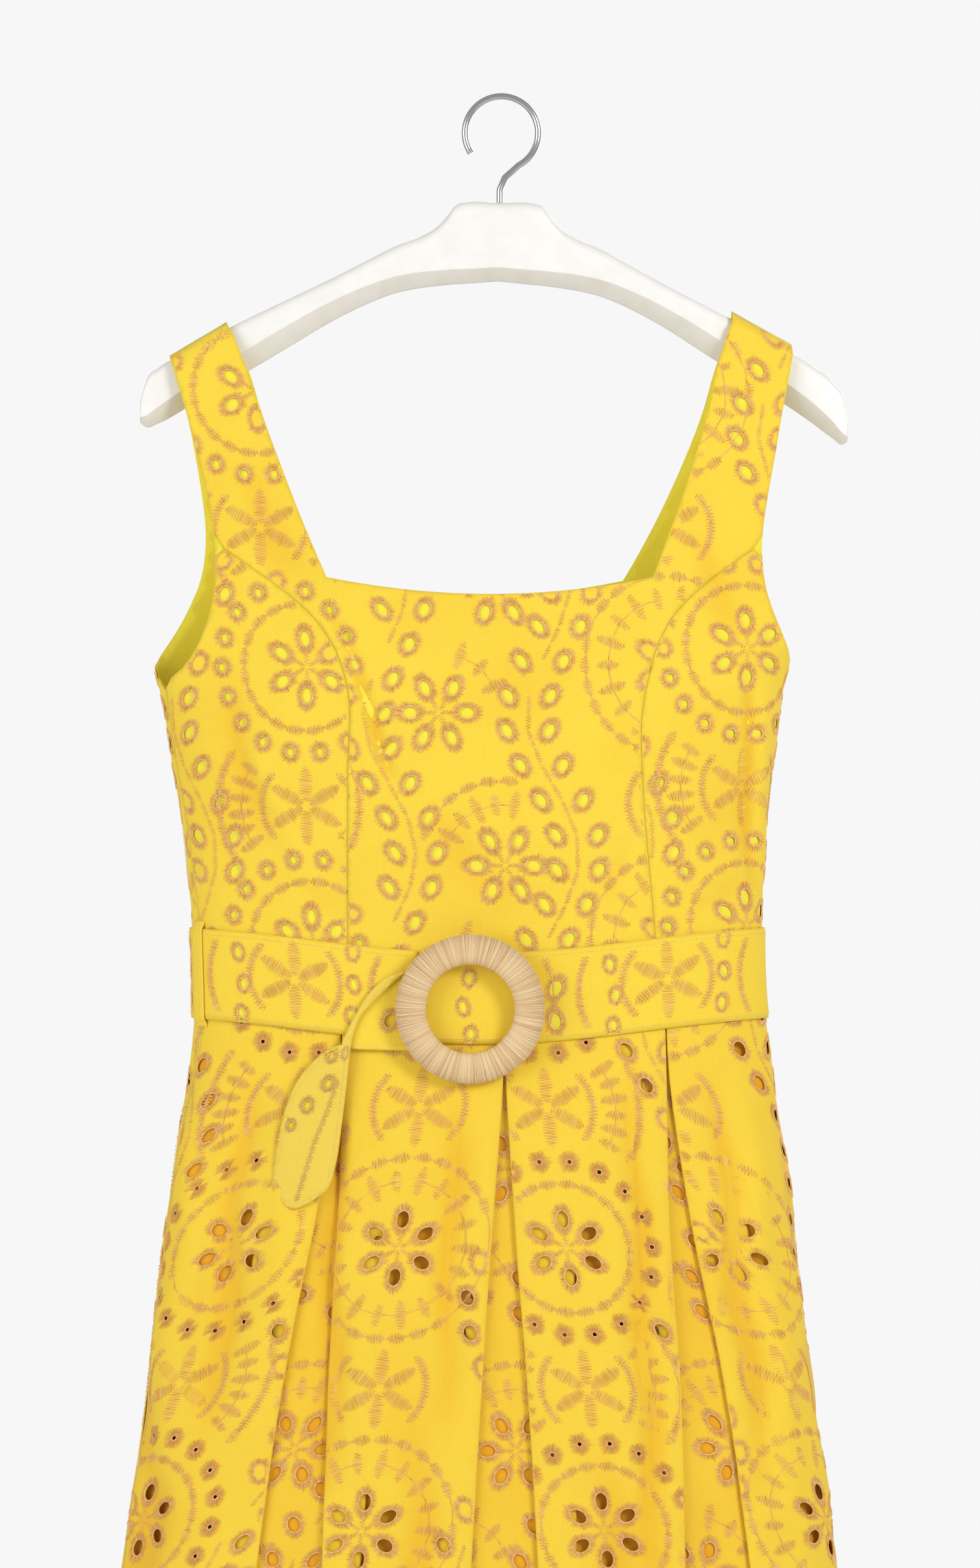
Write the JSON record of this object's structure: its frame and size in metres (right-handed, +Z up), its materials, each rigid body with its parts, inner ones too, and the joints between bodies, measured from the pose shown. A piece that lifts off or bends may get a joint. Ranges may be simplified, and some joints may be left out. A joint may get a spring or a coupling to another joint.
{
  "type": "embroidered dress on a hanger",
  "caption": "Sleeveless square-neck dress in embroidered eyelet cotton with a belted waist and pleated skirt, hung on a contoured hanger.",
  "frame": {"origin": "inside top of the hanger's hook, where a rail carries it", "axes": "+Z up, +X to the right of someone facing the dress's front, +Y away from them, so the front faces -Y"},
  "size_m": [0.5572, 0.1802, 1.3139],
  "materials": {
    "eyelet_cotton": "matt woven cotton, embroidered",
    "cotton_lining": "matt plain cotton",
    "wound_straw": "wound straw thread, soft sheen",
    "white_paint": "satin white",
    "hook_steel": "polished"
  },
  "bodies": {
    "root": {"bodice_front_centre": "eyelet_cotton", "bodice_side_front_left": "eyelet_cotton", "bodice_side_front_right": "eyelet_cotton", "bodice_back": "eyelet_cotton", "bodice_lining_front": "cotton_lining", "bodice_lining_back": "cotton_lining", "skirt_front": "eyelet_cotton", "skirt_back": "eyelet_cotton", "skirt_lining_front": "cotton_lining", "skirt_lining_back": "cotton_lining", "belt_band": "eyelet_cotton", "belt_tail": "eyelet_cotton", "belt_loop_left": "eyelet_cotton", "belt_loop_right": "eyelet_cotton", "buckle_ring": "wound_straw", "hanger_body": "white_paint", "hanger_hook": "hook_steel"}
  },
  "joints": []
}
